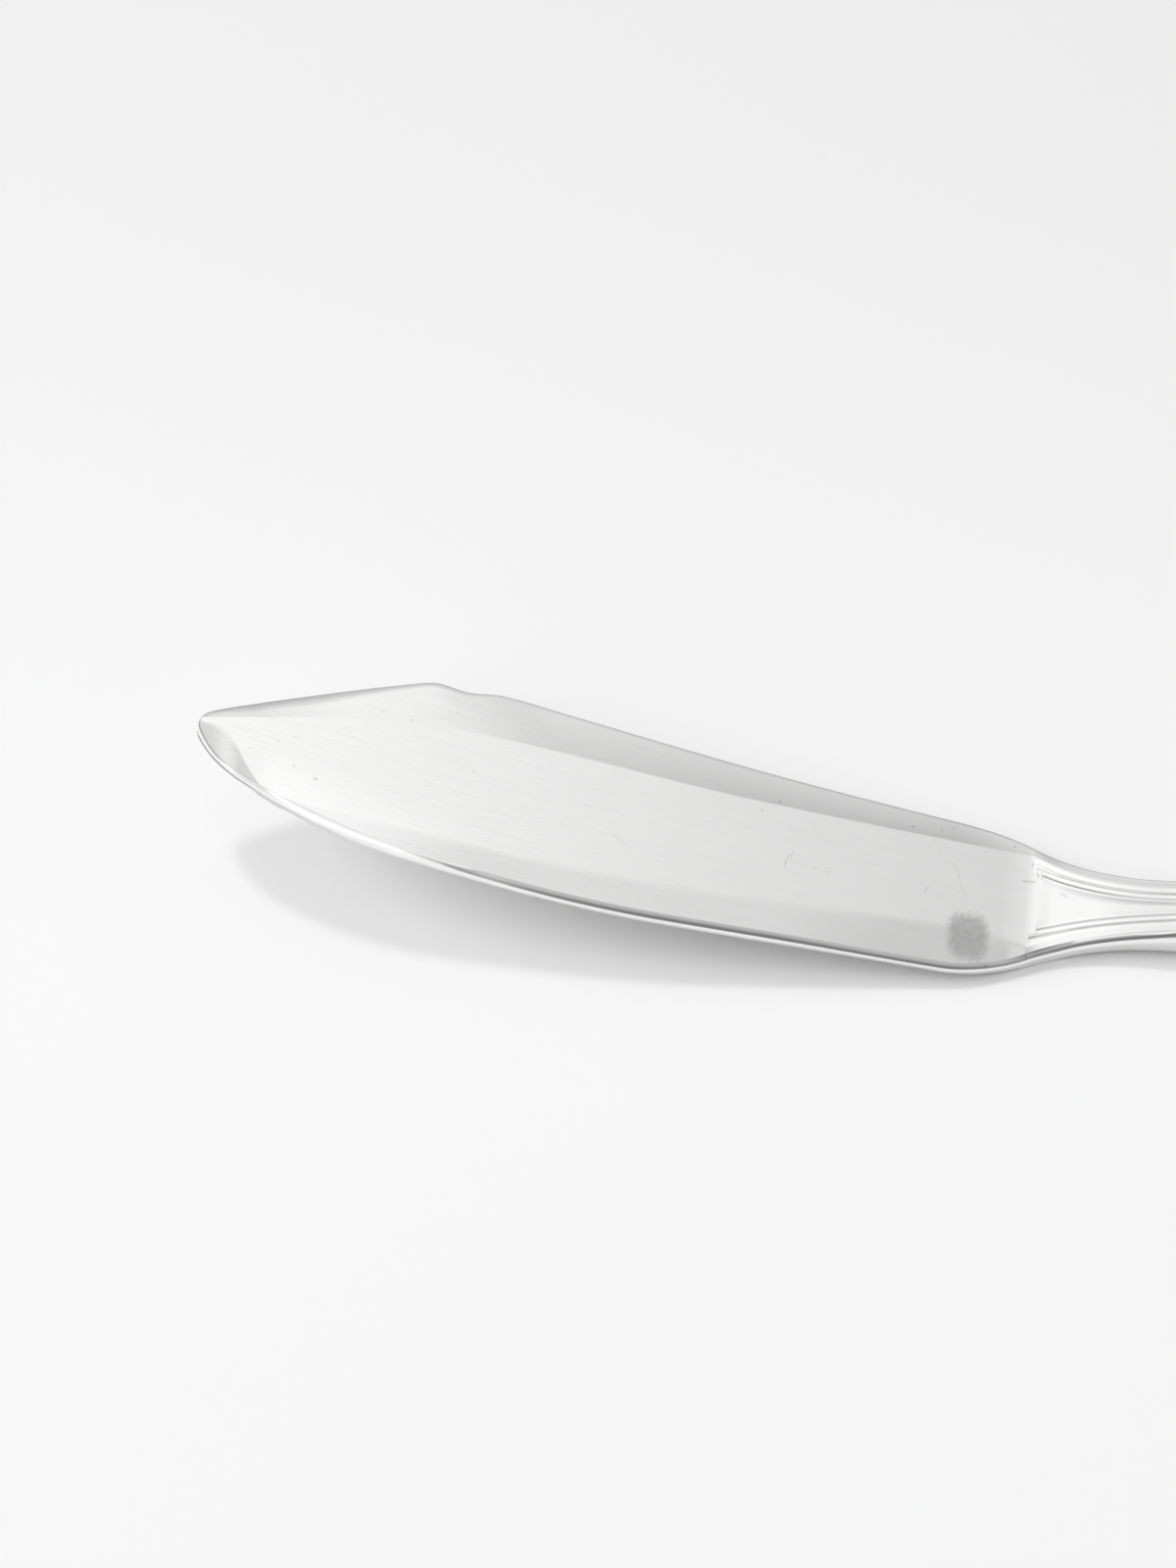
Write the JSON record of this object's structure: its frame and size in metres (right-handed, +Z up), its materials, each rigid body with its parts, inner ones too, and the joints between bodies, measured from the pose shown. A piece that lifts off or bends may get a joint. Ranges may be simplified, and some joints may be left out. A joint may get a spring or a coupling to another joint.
{
  "type": "fish knife",
  "caption": "Table fish knife with a broad notched blade, bevelled edges, a threaded neck and a hollow arched handle with a double thread border.",
  "frame": {"origin": "on the table under the middle of the knife's bounding box", "axes": "+X towards the end of the handle, +Y towards the spine of the blade, +Z up from the table"},
  "size_m": [0.2056, 0.0278, 0.0126],
  "materials": {
    "satin_silver": "satin",
    "bright_silver": "polished",
    "back_silver": "polished",
    "cement": "matte"
  },
  "bodies": {
    "root": {"blade": "satin_silver", "handle_upper_shell": "bright_silver", "handle_lower_shell": "back_silver", "handle_filler": "cement"}
  },
  "joints": []
}
